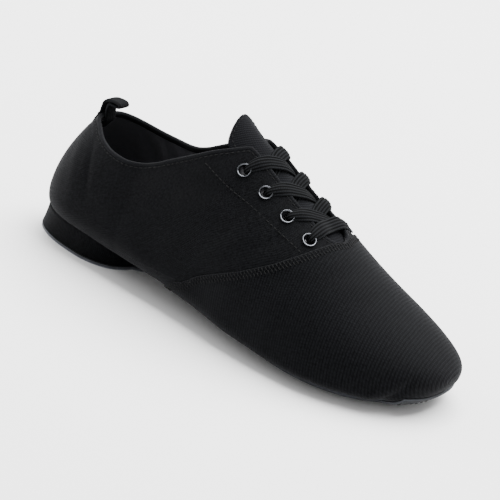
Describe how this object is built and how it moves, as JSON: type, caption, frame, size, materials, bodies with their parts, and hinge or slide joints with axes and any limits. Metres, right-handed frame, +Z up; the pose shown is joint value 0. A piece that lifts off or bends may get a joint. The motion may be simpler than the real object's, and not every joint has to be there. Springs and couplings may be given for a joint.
{
  "type": "jazz shoe",
  "caption": "Low lace-up dance shoe with a soft canvas upper, a separate suede forefoot pad and a low heel with a suede pad, open at the collar",
  "frame": {"origin": "on the floor, under the middle of the shoe's box", "axes": "+X toward the toe, +Y toward the inner (big toe) side, +Z up"},
  "size_m": [0.246, 0.0888, 0.097],
  "materials": {
    "canvas": "matte black cotton canvas, plain weave",
    "suede": "split leather, brushed nap, pale raw edge",
    "lining": "smooth black lining cloth",
    "lace": "flat woven black lace",
    "webbing": "black woven tape",
    "steel": "nickel-plated, smooth"
  },
  "bodies": {
    "root": {"upper": "canvas", "tongue": "canvas", "insole": "lining", "forefoot_pad": "suede", "toe_patch": "suede", "heel_block": "canvas", "heel_pad": "suede", "pull_loop": "webbing", "lace_bar": "lace", "lace_cross_1": "lace", "lace_cross_2": "lace", "lace_cross_3": "lace", "eyelet_inner_1": "steel", "eyelet_inner_2": "steel", "eyelet_inner_3": "steel", "eyelet_inner_4": "steel", "eyelet_outer_1": "steel", "eyelet_outer_2": "steel", "eyelet_outer_3": "steel", "eyelet_outer_4": "steel"}
  },
  "joints": []
}
